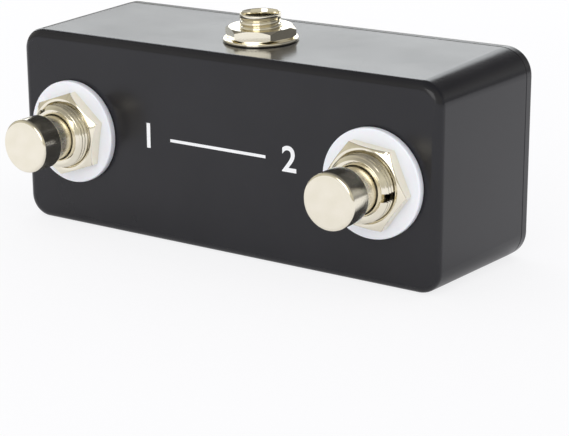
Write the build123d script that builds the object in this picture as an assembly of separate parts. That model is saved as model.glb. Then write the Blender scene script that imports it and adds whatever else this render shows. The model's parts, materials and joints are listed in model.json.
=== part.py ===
"""Two-button momentary footswitch in a die-cast aluminium box, standing on its long side.

Millimetres, +Z up. The origin is the centre of the flat long side that the box stands on.
The box is drawn in its own frame first: X along its length, Y from the closed front face
towards the lid, Z across its width. One turn by the draft angle then lays the side flat.
"""

import os
from math import cos, pi, radians, sin, tan

from build123d import *

# Box
BOX_LENGTH = 92.6
BOX_WIDTH = 38.5
BOX_DEPTH = 31.0
LID_THICKNESS = 2.4
DRAFT = 1.9
CORNER_RADIUS = 5.0
FACE_FILLET = 1.6
LID_FILLET = 0.8
SEAM_BREAK = 0.15
WALL = 2.2
FACE_WALL = 2.3
CAVITY_BREAK = 1.0
PANEL_CLEARANCE = 0.1
TUB_DEPTH = BOX_DEPTH - LID_THICKNESS

# Screw posts in the corners of the tub, and the lid screws
POST_X = BOX_LENGTH / 2 - 5.0
POST_Z = BOX_WIDTH / 2 - 5.0
POST_RADIUS = 3.4
SCREW_HEAD_RADIUS = 3.2
SCREW_HEAD_DEPTH = 1.8
SCREW_RADIUS = 1.45
SCREW_LENGTH = 12.0
SCREW_CLEARANCE = 0.05
RIB_HEIGHT = 1.6
RIB_WIDTH = 1.4
RIB_CLEARANCE = 0.2

# Switches: heights are measured outwards from the front face, negative inside the box
SWITCH_X = 32.9
LEFT_KEYWAY = 122
RIGHT_KEYWAY = -6
LEFT_NUT_TURN = 20
RIGHT_NUT_TURN = 54
BARREL_END = 6.2
BARREL_RADIUS = 5.95
BARREL_CHAMFER = 0.75
BORE_RADIUS = 4.3
BORE_BREAK = 0.2
SLOT_WIDTH = 1.5
SLOT_DEPTH = 0.9
SKIRT_TOP = -7.2
SKIRT_RADIUS = 8.0
SKIRT_WALL = 0.5
SEAT = -8.6
CRIMP_END = -10.9
PANEL_HOLE_RADIUS = BARREL_RADIUS + 0.15

CAP_FRONT = 14.5
CAP_REAR = 9.75
CAP_RADIUS = 4.95
CAP_BEVEL = 0.35
CAP_REAR_BREAK = 0.15
STEM_RADIUS = 4.22
SPIGOT_RADIUS = 3.0
SPIGOT_END = 12.7
SPIGOT_GAP = 0.2
SHOULDER_RADIUS = 5.2
SHOULDER_END = -10.6
STOP_GAP = 0.05
STUD_RADIUS = 1.6
STUD_END = -14.6
TRAVEL = 2.6

DRESS_WASHER_RADIUS = 9.65
DRESS_WASHER_THICKNESS = 1.45
DRESS_WASHER_HOLE_RADIUS = BARREL_RADIUS + 0.15
DRESS_WASHER_BREAK = 0.25
NUT_FLATS = 14.0
NUT_BEVEL_RADIUS = 6.8
NUT_COUNTERSINK = 0.35
FRONT_NUT_THICKNESS = 2.4
BACK_NUT_THICKNESS = 2.2
BACK_NUT_TURN = 10
LOCK_WASHER_RADIUS = 8.1
LOCK_WASHER_HOLE_RADIUS = BARREL_RADIUS + 0.1
LOCK_WASHER_THICKNESS = 0.6
LOCK_NOTCHES = 14
LOCK_NOTCH_DEPTH = 1.1
LOCK_NOTCH_WIDTH = 1.1
THREAD_CLEARANCE = 0.05

CASE_RIM_RADIUS = 7.45
CASE_RADIUS = 6.9
CASE_WALL = 1.1
CASE_FLOOR = -19.0
CASE_END = -20.4
CASE_CHAMFER = 0.5
RIM_END = -10.4

CONTACT_X = 4.3
BRIDGE_LENGTH = 10.8
BRIDGE_WIDTH = 3.4
BRIDGE_THICKNESS = 0.5
RIVET_RADIUS = 0.9
RIVET_HEIGHT = 0.4
CONTACT_GAP = 0.05
TERMINAL_HEAD_RADIUS = 1.1
TERMINAL_HEAD_HEIGHT = 0.6
LUG_WIDTH = 2.4
LUG_THICKNESS = 0.6
LUG_END = -25.2
LUG_ROUNDING = 0.8
LUG_HOLE_RADIUS = 0.55

SPRING_RADIUS = 2.2
SPRING_WIRE = 0.25
SPRING_TURNS = 4
SPRING_SIDES = 6

# Socket: heights are measured outwards from the upper long side, negative inside the box
JACK_X = 0.6
JACK_Y = 13.0
JACK_BORE_RADIUS = 3.2
JACK_END = 5.1
JACK_RADIUS = 3.75
JACK_MOUTH_BREAK = 0.3
JACK_FLANGE_RADIUS = 5.6
JACK_FLANGE_END = -3.2
JACK_TAIL_RADIUS = 4.2
JACK_TAIL_END = -7.5
JACK_WASHER_RADIUS = 6.9
JACK_WASHER_THICKNESS = 0.65
JACK_WASHER_BREAK = 0.15
JACK_NUT_FLATS = 11.5
JACK_NUT_BEVEL_RADIUS = 5.92
JACK_NUT_THICKNESS = 2.0
JACK_NUT_TURN = 20
JACK_NUT_COUNTERSINK = 0.3
JACK_TAG_THICKNESS = 0.4
JACK_TAG_REACH = 9.0
JACK_TAG_WIDTH = 3.0
JACK_TAG_HOLE_INSET = 1.3
JACK_BODY_LENGTH_X = 13.0
JACK_BODY_LENGTH_Y = 11.0
JACK_BODY_END = -28.0
JACK_BODY_CORNER = 1.5
JACK_BODY_BREAK = 0.8
JACK_CHAMBER_RADIUS = 3.4
JACK_CHAMBER_END = -26.6
CONTACT_SLOT_WIDTH = 3.0
LEAF_WIDTH = 2.4
LEAF_THICKNESS = 0.4
LEAF_REACH = 9.5
LEAF_SLOT_HEIGHT = 8.0
LEAF_BEND = 0.5
TIP_LEAF_BASE = -25.4
RING_LEAF_BASE = -18.8
# A leaf from its foot to its free end: distance from the socket's axis, rise above the foot
LEAF_BLADE = ((5.0, 0.0), (4.6, 2.2), (3.05, 4.6), (4.2, 6.9))

WIRE_RADIUS = 0.65
WIRE_SIDES = 8
WIRE_Y = 24.0


def side_half(y):
    """Half of the box's width at depth y."""
    return BOX_WIDTH / 2 - (TUB_DEPTH - y) * tan(radians(DRAFT))


# ---- Frames ----

def resting_place():
    """Turns the box by its draft, so that its lower long side lies on Z = 0 about the origin."""
    level = Rot(X=DRAFT)
    centre = (level * Pos(0, TUB_DEPTH / 2, -side_half(TUB_DEPTH / 2))).position
    return Pos(0, -centre.Y, -centre.Z) * level


REST = resting_place()
RIM = Plane(origin=(0, TUB_DEPTH, 0), x_dir=(1, 0, 0), z_dir=(0, -1, 0))
JACK = Plane(
    origin=(JACK_X, JACK_Y, side_half(JACK_Y)),
    x_dir=(1, 0, 0),
    z_dir=(0, -sin(radians(DRAFT)), cos(radians(DRAFT))),
)


def switch_plane(x):
    """A switch's own frame: local Z out of the front face, local Y up the face."""
    return Plane(origin=(x, 0, 0), x_dir=(1, 0, 0), z_dir=(0, -1, 0))


# ---- General forms ----

def turned(points):
    """A turned piece: a closed outline of (radius, height) pairs spun about Z."""
    outline = make_face(Polyline(*[(r, 0, z) for r, z in points], close=True))
    return revolve(outline, axis=Axis.Z)


def ring(outer, inner, low, high):
    return Pos(0, 0, low) * extrude(Circle(outer) - Circle(inner), amount=high - low)


def disc(radius, low, high):
    return Pos(0, 0, low) * extrude(Circle(radius), amount=high - low)


def hex_nut(flats, bevel_radius, hole_radius, low, high, bevels, turn):
    """A hexagon nut. Each end in bevels has its corners turned off by a 30 degree cone."""
    corner = flats / 2 / cos(pi / 6)
    fall = (corner - bevel_radius) * tan(pi / 6)
    blank = Pos(0, 0, low) * extrude(
        Rot(Z=turn) * RegularPolygon(corner, 6) - Circle(hole_radius), amount=high - low
    )
    low_end = [(bevel_radius, low), (corner, low + fall)] if "low" in bevels else [(corner, low)]
    high_end = [(corner, high - fall), (bevel_radius, high)] if "high" in bevels else [(corner, high)]
    return blank & turned([(0, low), *low_end, *high_end, (0, high)])


def countersink(radius, height, depth):
    """Cone that breaks the edge of a threaded hole."""
    return turned(
        [(0, height - depth), (radius, height - depth), (radius + depth, height), (0, height)]
    )


def bent_strip(points, radius, width):
    """Flat spring strip LEAF_THICKNESS thick, bent along points in the local XZ plane."""
    path = FilletPolyline(*points, radius=radius)
    side = trace(path, line_width=LEAF_THICKNESS)
    return Rot(X=90) * extrude(side, amount=width / 2, both=True)


# ---- Enclosure ----

def corner_block(sign_x, sign_z, growth=0.0):
    """Outline of a screw post with its web: a square in the corner, rounded on its inner side."""
    side = 3 * CORNER_RADIUS
    shift = side / 2 - POST_RADIUS
    block = RectangleRounded(side + 2 * growth, side + 2 * growth, POST_RADIUS + growth)
    return Pos(sign_x * (POST_X + shift), sign_z * (POST_Z + shift)) * block


def corners():
    return [(sx, sz) for sx in (-1, 1) for sz in (-1, 1)]


def enclosure():
    """The cast tub: drafted outside and in, with four screw posts and three machined holes."""
    outer = extrude(
        RIM * RectangleRounded(BOX_LENGTH, BOX_WIDTH, CORNER_RADIUS), amount=TUB_DEPTH, taper=DRAFT
    )
    outer = fillet(outer.faces().sort_by(Axis.Y)[0].edges(), FACE_FILLET)
    outer = chamfer(outer.faces().sort_by(Axis.Y)[-1].edges(), SEAM_BREAK)
    cavity = extrude(
        RIM * RectangleRounded(BOX_LENGTH - 2 * WALL, BOX_WIDTH - 2 * WALL, CORNER_RADIUS - WALL),
        amount=TUB_DEPTH - FACE_WALL,
        taper=DRAFT,
    )
    cavity = chamfer(cavity.faces().sort_by(Axis.Y)[0].edges(), CAVITY_BREAK)
    for sign_x, sign_z in corners():
        cavity -= extrude(RIM * corner_block(sign_x, sign_z), amount=TUB_DEPTH)
    tub = outer - cavity
    for sign_x, sign_z in corners():
        hole = RIM * Pos(sign_x * POST_X, sign_z * POST_Z) * Circle(SCREW_RADIUS + SCREW_CLEARANCE)
        tub -= extrude(hole, amount=SCREW_LENGTH)
    for x in (-SWITCH_X, SWITCH_X):
        tub -= switch_plane(x) * Cylinder(PANEL_HOLE_RADIUS, 4 * FACE_WALL)
    tub -= JACK * Cylinder(JACK_RADIUS + PANEL_CLEARANCE, 4 * WALL)
    return tub


def screw_outline(head_radius, shank_radius, length):
    """Countersunk screw with its head's flat at height 0 and its shank below."""
    return [
        (0, 0),
        (head_radius, 0),
        (shank_radius, -SCREW_HEAD_DEPTH),
        (shank_radius, -length),
        (0, -length),
    ]


def lid_screw_places():
    """The four screw axes: local Z out of the lid's back."""
    back = Plane(origin=(0, BOX_DEPTH, 0), x_dir=(-1, 0, 0), z_dir=(0, 1, 0))
    return [back * Pos(sx * POST_X, sz * POST_Z) for sx, sz in corners()]


def base_lid():
    """Cast lid: flat plate, rounded back edge, and a rib that locates it inside the tub."""
    seam = Plane(origin=(0, TUB_DEPTH, 0), x_dir=(-1, 0, 0), z_dir=(0, 1, 0))
    plate = extrude(
        seam * RectangleRounded(BOX_LENGTH, BOX_WIDTH, CORNER_RADIUS), amount=LID_THICKNESS
    )
    plate = fillet(plate.faces().sort_by(Axis.Y)[-1].edges(), LID_FILLET)
    plate = chamfer(plate.faces().sort_by(Axis.Y)[0].edges(), SEAM_BREAK)
    rib_length = BOX_LENGTH - 2 * WALL - 2 * RIB_CLEARANCE
    rib_width = BOX_WIDTH - 2 * WALL - 2 * RIB_CLEARANCE
    rib_radius = CORNER_RADIUS - WALL - RIB_CLEARANCE
    rib = RectangleRounded(rib_length, rib_width, rib_radius) - RectangleRounded(
        rib_length - 2 * RIB_WIDTH, rib_width - 2 * RIB_WIDTH, rib_radius / 2
    )
    for sign_x, sign_z in corners():
        rib -= corner_block(sign_x, sign_z, RIB_CLEARANCE)
    lid = plate + extrude(RIM * rib, amount=RIB_HEIGHT)
    for place in lid_screw_places():
        lid -= place * turned(
            screw_outline(SCREW_HEAD_RADIUS, SCREW_RADIUS + SCREW_CLEARANCE, SCREW_LENGTH)
        )
    return lid


def lid_screws():
    screw = turned(screw_outline(SCREW_HEAD_RADIUS, SCREW_RADIUS, SCREW_LENGTH))
    return Compound([place * screw for place in lid_screw_places()])


# ---- Switch ----

def barrel(keyway):
    """Turned bushing: threaded neck with a keyway, and a skirt rolled over the lower case."""
    rolled = SKIRT_RADIUS - SKIRT_WALL
    outline = [
        (BORE_RADIUS, SEAT),
        (BORE_RADIUS, BARREL_END - BORE_BREAK),
        (BORE_RADIUS + BORE_BREAK, BARREL_END),
        (BARREL_RADIUS - BARREL_CHAMFER, BARREL_END),
        (BARREL_RADIUS, BARREL_END - BARREL_CHAMFER),
        (BARREL_RADIUS, SKIRT_TOP),
        (SKIRT_RADIUS, SKIRT_TOP),
        (SKIRT_RADIUS, CRIMP_END),
        (CASE_RADIUS + THREAD_CLEARANCE, CRIMP_END),
        (CASE_RADIUS + THREAD_CLEARANCE, RIM_END),
        (rolled, RIM_END),
        (rolled, SEAT),
    ]
    body = turned(outline)
    length = BARREL_END - SKIRT_TOP
    slot = Box(2 * SLOT_DEPTH, SLOT_WIDTH, length, align=(Align.CENTER, Align.CENTER, Align.MIN))
    return body - Rot(Z=keyway) * Pos(BARREL_RADIUS, 0, SKIRT_TOP) * slot


def front_nut(turn):
    hole = BARREL_RADIUS + THREAD_CLEARANCE
    low = DRESS_WASHER_THICKNESS
    high = low + FRONT_NUT_THICKNESS
    nut = hex_nut(NUT_FLATS, NUT_BEVEL_RADIUS, hole, low, high, ("high",), turn)
    return nut - countersink(hole, high, NUT_COUNTERSINK)


def back_nut():
    hole = BARREL_RADIUS + THREAD_CLEARANCE
    high = -FACE_WALL - LOCK_WASHER_THICKNESS
    low = high - BACK_NUT_THICKNESS
    return hex_nut(NUT_FLATS, NUT_BEVEL_RADIUS, hole, low, high, ("low",), BACK_NUT_TURN)


def dress_washer():
    washer = ring(DRESS_WASHER_RADIUS, DRESS_WASHER_HOLE_RADIUS, 0, DRESS_WASHER_THICKNESS)
    rims = washer.faces().sort_by(Axis.Z)[-1].edges()
    return chamfer(rims, DRESS_WASHER_BREAK)


def lock_washer():
    """Toothed washer: its inner rim is notched all round."""
    washer = ring(LOCK_WASHER_RADIUS, LOCK_WASHER_HOLE_RADIUS, 0, LOCK_WASHER_THICKNESS)
    notch = Box(2 * LOCK_NOTCH_DEPTH, LOCK_NOTCH_WIDTH, 3 * LOCK_WASHER_THICKNESS)
    for place in PolarLocations(LOCK_WASHER_HOLE_RADIUS, LOCK_NOTCHES):
        washer -= place * notch
    return Pos(0, 0, -FACE_WALL - LOCK_WASHER_THICKNESS) * washer


def button_cap():
    """Turned cap with a bevelled face and a blind hole for the plunger's spigot."""
    return turned(
        [
            (SPIGOT_RADIUS, CAP_REAR),
            (CAP_RADIUS - CAP_REAR_BREAK, CAP_REAR),
            (CAP_RADIUS, CAP_REAR + CAP_REAR_BREAK),
            (CAP_RADIUS, CAP_FRONT - CAP_BEVEL),
            (CAP_RADIUS - CAP_BEVEL, CAP_FRONT),
            (0, CAP_FRONT),
            (0, SPIGOT_END + SPIGOT_GAP),
            (SPIGOT_RADIUS, SPIGOT_END + SPIGOT_GAP),
        ]
    )


def plunger():
    """Turned stem: spigot, running length, retaining shoulder and the stud for the contact."""
    top = SEAT - STOP_GAP
    return turned(
        [
            (0, SPIGOT_END),
            (SPIGOT_RADIUS, SPIGOT_END),
            (SPIGOT_RADIUS, CAP_REAR),
            (STEM_RADIUS, CAP_REAR),
            (STEM_RADIUS, top),
            (SHOULDER_RADIUS, top),
            (SHOULDER_RADIUS, SHOULDER_END),
            (STUD_RADIUS, SHOULDER_END),
            (STUD_RADIUS, STUD_END),
            (0, STUD_END),
        ]
    )


def contact_bridge():
    """Moving contact: a flat strip on the stud with a contact rivet under each end."""
    low = SHOULDER_END - BRIDGE_THICKNESS
    strip = SlotOverall(BRIDGE_LENGTH, BRIDGE_WIDTH) - Circle(STUD_RADIUS)
    bridge = Pos(0, 0, low) * extrude(strip, amount=BRIDGE_THICKNESS)
    for x in (-CONTACT_X, CONTACT_X):
        bridge += Pos(x, 0, 0) * disc(RIVET_RADIUS, low - RIVET_HEIGHT, low)
    return bridge


def terminal(x):
    """Fixed contact: a round head on a blade that passes the case floor and ends in a lug."""
    top = SHOULDER_END - BRIDGE_THICKNESS - RIVET_HEIGHT - TRAVEL - CONTACT_GAP
    head_low = top - TERMINAL_HEAD_HEIGHT
    blade_length = head_low - LUG_END
    outline = Pos(0, (head_low + LUG_END) / 2) * Rectangle(LUG_WIDTH, blade_length)
    outline = fillet(outline.vertices().sort_by(Axis.Y)[:2], LUG_ROUNDING)
    outline -= Pos(0, LUG_END + LUG_WIDTH / 2) * Circle(LUG_HOLE_RADIUS)
    side = Plane(origin=(x, 0, 0), x_dir=(0, 1, 0), z_dir=(1, 0, 0))
    blade = extrude(side * outline, amount=LUG_THICKNESS / 2, both=True)
    return blade + Pos(x, 0, 0) * disc(TERMINAL_HEAD_RADIUS, head_low, top)


def switch_case():
    """Moulded lower case: a cup with a rim under the rolled skirt, and two terminal slots."""
    case = turned(
        [
            (0, CASE_FLOOR),
            (CASE_RADIUS - CASE_WALL, CASE_FLOOR),
            (CASE_RADIUS - CASE_WALL, SEAT),
            (CASE_RIM_RADIUS, SEAT),
            (CASE_RIM_RADIUS, RIM_END),
            (CASE_RADIUS, RIM_END),
            (CASE_RADIUS, CASE_END + CASE_CHAMFER),
            (CASE_RADIUS - CASE_CHAMFER, CASE_END),
            (0, CASE_END),
        ]
    )
    for x in (-CONTACT_X, CONTACT_X):
        case -= Pos(x, 0, (CASE_FLOOR + CASE_END) / 2) * Box(
            LUG_THICKNESS, LUG_WIDTH, 2 * (CASE_FLOOR - CASE_END)
        )
    return case


def return_spring():
    """Coil spring between the moving contact and the floor of the case, its wire drawn with flats."""
    low = CASE_FLOOR + SPRING_WIRE
    high = SHOULDER_END - BRIDGE_THICKNESS - SPRING_WIRE
    pitch = (high - low) / SPRING_TURNS
    path = Helix(pitch=pitch, height=high - low, radius=SPRING_RADIUS)
    wire = Plane(origin=path @ 0, z_dir=path % 0) * RegularPolygon(SPRING_WIRE, SPRING_SIDES)
    return Pos(0, 0, low) * sweep(wire, path=path, is_frenet=True)


# ---- Socket ----

def jack_collar():
    """Threaded sleeve with a bevelled mouth, a flange behind the wall and a tail in the body."""
    return turned(
        [
            (JACK_BORE_RADIUS, JACK_TAIL_END),
            (JACK_BORE_RADIUS, JACK_END - JACK_MOUTH_BREAK),
            (JACK_BORE_RADIUS + JACK_MOUTH_BREAK, JACK_END),
            (JACK_RADIUS - JACK_MOUTH_BREAK / 2, JACK_END),
            (JACK_RADIUS, JACK_END - JACK_MOUTH_BREAK / 2),
            (JACK_RADIUS, -WALL),
            (JACK_FLANGE_RADIUS, -WALL),
            (JACK_FLANGE_RADIUS, JACK_FLANGE_END),
            (JACK_TAIL_RADIUS, JACK_FLANGE_END),
            (JACK_TAIL_RADIUS, JACK_TAIL_END),
        ]
    )


def jack_washer():
    washer = ring(JACK_WASHER_RADIUS, JACK_RADIUS + PANEL_CLEARANCE, 0, JACK_WASHER_THICKNESS)
    rim = washer.faces().sort_by(Axis.Z)[-1].edges().sort_by(SortBy.LENGTH)[-1]
    return chamfer(rim, JACK_WASHER_BREAK)


def jack_nut():
    low = JACK_WASHER_THICKNESS
    high = low + JACK_NUT_THICKNESS
    hole = JACK_RADIUS + THREAD_CLEARANCE
    bevels = ("low", "high")
    nut = hex_nut(JACK_NUT_FLATS, JACK_NUT_BEVEL_RADIUS, hole, low, high, bevels, JACK_NUT_TURN)
    return nut - countersink(hole, high, JACK_NUT_COUNTERSINK)


def jack_tag():
    """Sleeve contact: a ring under the flange with a soldering tongue towards the lid."""
    reach = JACK_TAG_REACH - JACK_TAIL_RADIUS
    tongue = Pos(0, JACK_TAIL_RADIUS + reach / 2) * Rectangle(JACK_TAG_WIDTH, reach)
    tag = (Circle(JACK_FLANGE_RADIUS) + tongue) - Circle(JACK_TAIL_RADIUS)
    tag -= Pos(0, JACK_TAG_REACH - JACK_TAG_HOLE_INSET) * Circle(LUG_HOLE_RADIUS)
    low = JACK_FLANGE_END - JACK_TAG_THICKNESS
    return Pos(0, 0, low) * extrude(tag, amount=JACK_TAG_THICKNESS)


def jack_body():
    """Moulded body: a block with rounded corners, a blind chamber and a slot for each leaf."""
    top = JACK_FLANGE_END - JACK_TAG_THICKNESS
    outline = RectangleRounded(JACK_BODY_LENGTH_X, JACK_BODY_LENGTH_Y, JACK_BODY_CORNER)
    body = Pos(0, 0, JACK_BODY_END) * extrude(outline, amount=top - JACK_BODY_END)
    body = fillet(body.faces().sort_by(Axis.Z)[0].edges(), JACK_BODY_BREAK)
    body -= disc(JACK_TAIL_RADIUS, JACK_TAIL_END, top)
    body -= disc(JACK_CHAMBER_RADIUS, JACK_CHAMBER_END, JACK_TAIL_END)
    for sign, base in ((1, TIP_LEAF_BASE), (-1, RING_LEAF_BASE)):
        slot_low = base - LEAF_THICKNESS / 2
        slot_height = LEAF_SLOT_HEIGHT + LEAF_THICKNESS / 2
        body -= Pos(sign * JACK_BODY_LENGTH_X / 2, 0, slot_low + slot_height / 2) * Box(
            JACK_BODY_LENGTH_X, CONTACT_SLOT_WIDTH, slot_height
        )
    return body


def jack_leaf(base, sign):
    """Leaf contact: solder tail through the slot, a rising blade and a bow towards the plug."""
    points = [(LEAF_REACH, base)]
    points += [(reach, base + rise) for reach, rise in LEAF_BLADE]
    leaf = bent_strip(points, LEAF_BEND, LEAF_WIDTH)
    return leaf if sign > 0 else Rot(Z=180) * leaf


# ---- Wiring ----

def hook_up_wire(points):
    """An insulated wire: straight runs joined by arcs as large as the runs allow."""
    route = [Vector(*point) for point in points]
    radii = []
    for before, at, after in zip(route, route[1:], route[2:]):
        half_turn = radians((at - before).get_angle(after - at)) / 2
        run = min((at - before).length, (after - at).length)
        radii.append(0.45 * run / tan(half_turn))
    print("wire radii", [round(r, 1) for r in radii])
    path = FilletPolyline(*route, radius=radii)
    section = RegularPolygon(WIRE_RADIUS, WIRE_SIDES)
    return sweep(Plane(origin=path @ 0, z_dir=path % 0) * section, path=path)


def in_box(place, x, y, z):
    """A point of a local frame, in the box's frame."""
    return tuple(place.from_local_coords(Vector(x, y, z)))


def signal_wire(sign):
    """From a switch's inner lug to the socket's ring leaf on the left, tip leaf on the right."""
    start_x = SWITCH_X - CONTACT_X - LUG_THICKNESS / 2
    base = TIP_LEAF_BASE if sign > 0 else RING_LEAF_BASE
    end = in_box(JACK, sign * LEAF_REACH, 0, base)
    return hook_up_wire(
        [
            (sign * start_x, WIRE_Y, 0),
            (sign * (start_x - 7.5), WIRE_Y, end[2] * 0.1),
            (end[0] + sign * 8.0, end[1] + 0.6, end[2]),
            end,
        ]
    )


def ground_wire(sign):
    """From a switch's outer lug up and along the box to the socket's sleeve tag."""
    start_x = SWITCH_X + CONTACT_X
    tag_z = JACK_FLANGE_END - JACK_TAG_THICKNESS / 2
    end = in_box(JACK, sign * JACK_TAG_WIDTH / 2, JACK_TAG_REACH - JACK_TAG_HOLE_INSET, tag_z)
    return hook_up_wire(
        [
            (sign * start_x, WIRE_Y, LUG_WIDTH / 2),
            (sign * (start_x - 1.0), WIRE_Y, 8.5),
            (sign * (start_x - 9.0), WIRE_Y - 0.5, 12.0),
            (sign * (start_x - 21.0), WIRE_Y - 1.5, 11.6),
            (end[0] + sign * 7.0, end[1], end[2]),
            end,
        ]
    )


# ---- All nodes ----

def switch_nodes(side, x, keyway, nut_turn):
    place = switch_plane(x)
    pieces = {
        "button_cap": button_cap(),
        "plunger": plunger(),
        "contact_bridge": contact_bridge(),
        "barrel": barrel(keyway),
        "front_nut": front_nut(nut_turn),
        "dress_washer": dress_washer(),
        "lock_washer": lock_washer(),
        "back_nut": back_nut(),
        "switch_case": switch_case(),
        "return_spring": return_spring(),
        "terminal_left": terminal(-CONTACT_X),
        "terminal_right": terminal(CONTACT_X),
    }
    return {f"{side}_{name}": place * piece for name, piece in pieces.items()}


def jack_nodes():
    pieces = {
        "jack_collar": jack_collar(),
        "jack_nut": jack_nut(),
        "jack_washer": jack_washer(),
        "jack_body": jack_body(),
        "jack_sleeve_tag": jack_tag(),
        "jack_tip_leaf": jack_leaf(TIP_LEAF_BASE, 1),
        "jack_ring_leaf": jack_leaf(RING_LEAF_BASE, -1),
    }
    return {name: JACK * piece for name, piece in pieces.items()}


def all_nodes():
    nodes = {"enclosure": enclosure(), "base_lid": base_lid(), "lid_screws": lid_screws()}
    nodes |= switch_nodes("left", -SWITCH_X, LEFT_KEYWAY, LEFT_NUT_TURN)
    nodes |= switch_nodes("right", SWITCH_X, RIGHT_KEYWAY, RIGHT_NUT_TURN)
    nodes |= jack_nodes()
    nodes["left_signal_wire"] = signal_wire(-1)
    nodes["right_signal_wire"] = signal_wire(1)
    nodes["left_ground_wire"] = ground_wire(-1)
    nodes["right_ground_wire"] = ground_wire(1)
    return nodes


os.makedirs("parts", exist_ok=True)
for node_name, solid in all_nodes().items():
    export_step(REST * solid, f"parts/{node_name}.step")
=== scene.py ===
import json
import math

import bpy
from mathutils import Matrix, Vector

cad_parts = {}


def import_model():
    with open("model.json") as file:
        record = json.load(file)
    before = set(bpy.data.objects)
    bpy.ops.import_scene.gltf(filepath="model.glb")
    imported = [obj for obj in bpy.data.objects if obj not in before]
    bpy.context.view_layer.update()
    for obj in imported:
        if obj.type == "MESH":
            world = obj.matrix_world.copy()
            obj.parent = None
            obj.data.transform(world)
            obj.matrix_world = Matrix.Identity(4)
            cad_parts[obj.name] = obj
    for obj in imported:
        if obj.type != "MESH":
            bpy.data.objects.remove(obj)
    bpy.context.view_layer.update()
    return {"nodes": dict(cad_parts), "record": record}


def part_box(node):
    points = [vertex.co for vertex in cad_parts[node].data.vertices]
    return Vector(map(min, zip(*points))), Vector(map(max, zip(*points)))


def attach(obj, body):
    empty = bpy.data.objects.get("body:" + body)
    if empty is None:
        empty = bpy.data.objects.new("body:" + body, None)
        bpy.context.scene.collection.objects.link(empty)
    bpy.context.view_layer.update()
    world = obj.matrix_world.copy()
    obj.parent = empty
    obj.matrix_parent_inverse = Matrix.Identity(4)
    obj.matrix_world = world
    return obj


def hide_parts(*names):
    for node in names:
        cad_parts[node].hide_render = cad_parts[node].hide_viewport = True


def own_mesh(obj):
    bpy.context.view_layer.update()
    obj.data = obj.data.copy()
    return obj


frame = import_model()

# A two-button footswitch: nickel-plated switches and socket on an enamelled die-cast box.
# Lengths below are in millimetres, and MM takes them to metres. Heights of switch pieces are
# measured outwards from the front face, and of socket pieces outwards from the upper side.
MM = 0.001

BOX_LENGTH = 92.6
BOX_WIDTH = 38.5
BOX_DEPTH = 31.0
SWITCHES = {"left": {"nut_turn": 20, "keyway": 122}, "right": {"nut_turn": 54, "keyway": -6}}

# Rounding of turned edges, and the angle in degrees up to which threads are shaded smooth
TURNED_EDGE = 0.06
THREAD_SMOOTHING = 65

# Points nearer than WELD after a cut are merged, and so are a seam's points nearer than SEAM
WELD = 0.015
SEAM = 0.0001

# The switch's neck, with its thread and keyway, and the skirt behind the panel
NECK_RADIUS = 5.95
NECK_END = 6.2
NECK_CHAMFER = 0.75
NECK_BORE = 4.3
NECK_MOUTH = 0.2
NECK_FOOT = -7.2
THREAD_PITCH = 0.75
THREAD_DEPTH = 0.45
KEYWAY_WIDTH = 1.5
KEYWAY_DEPTH = 0.9
SKIRT_RADIUS = 8.0
SKIRT_END = -10.9
SKIRT_LIP_RADIUS = 6.95
SKIRT_LIP = -10.4
SKIRT_SEAT = -8.6
SKIRT_BORE = 7.5

# The cap, and the stem that it sits on
CAP_FRONT = 14.5
CAP_REAR = 9.75
CAP_RADIUS = 4.95
CAP_BEVEL = 0.35
CAP_EDGE = 0.2
CAP_HOLE_RADIUS = 3.0
CAP_HOLE_END = 12.9
STEM_RADIUS = 4.14
STEM_SPIGOT_END = 12.7
STEM_SHOULDER_RADIUS = 5.2
STEM_SHOULDER = (-8.65, -10.6)
STUD_RADIUS = 1.6
STUD_END = -14.6

SPRING_RADIUS = 2.2
SPRING_WIRE = 0.25
SPRING_TURNS = 4
SPRING_FOOT = -19.0
SPRING_HEAD = -11.15

# Dress washer and nut in front of the panel, and what every nut shares
WASHER_RADIUS = 9.65
WASHER_HOLE = 6.1
WASHER_THICKNESS = 1.45
WASHER_EDGE = 0.3
NUT_FLATS = 14.0
NUT_BEVEL_RADIUS = 6.8
NUT_BEVEL_ANGLE = 30
NUT_HEIGHT = 2.4
NUT_HOLE = 6.0
NUT_COUNTERSINK = 0.35
NUT_EDGE = 0.1

# The socket's sleeve. Its rim is broken by a width and a height
SOCKET_RADIUS = 3.75
SOCKET_BORE = 3.2
SOCKET_END = 5.1
SOCKET_MOUTH_DEPTH = 1.0
SOCKET_MOUTH_FLARE = 0.3
SOCKET_LIP = 0.08
SOCKET_RIM_BREAK = (0.12, 0.15)
SOCKET_THREAD_PITCH = 1.0
SOCKET_THREAD_TURNS = 6
SOCKET_THREAD_INSET = 0.9
SOCKET_WALL = 2.2
SOCKET_FLANGE_RADIUS = 5.6
SOCKET_FLANGE_END = -3.2
SOCKET_TAIL_RADIUS = 4.2
SOCKET_TAIL_END = -7.5
SOCKET_CENTRE_HEIGHT = -1.35
SOCKET_WASHER_RADIUS = 6.9
SOCKET_WASHER_HOLE = 3.85
SOCKET_WASHER_THICKNESS = 0.65
SOCKET_WASHER_EDGE = 0.2
SOCKET_NUT_FLATS = 11.5
SOCKET_NUT_BEVEL_RADIUS = 5.8
SOCKET_NUT_HOLE = 3.8
SOCKET_NUT_HEIGHT = 2.0
SOCKET_NUT_TURN = 20

# Lid screws. The recess narrows to its floor by a share across and a share along each arm
SCREW_HEAD_RADIUS = 3.2
SCREW_HEAD_DEPTH = 1.8
SCREW_RIM = 0.05
SCREW_SINK = 0.03
SCREW_RADIUS = 1.45
SCREW_LENGTH = 12.0
SCREW_POINT_RADIUS = 0.87
SCREW_POINT_LENGTH = 0.8
SCREW_INSET = 5.0
RECESS_ARM = (0.9, 3.7)
RECESS_DEPTH = 1.2
RECESS_TAPER = (0.55, 0.35)

# Where each screw stopped, in degrees, by the signs of its corner
SCREW_TURNS = {(-1, -1): -65, (-1, 1): 15, (1, -1): -15, (1, 1): 65}

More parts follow.
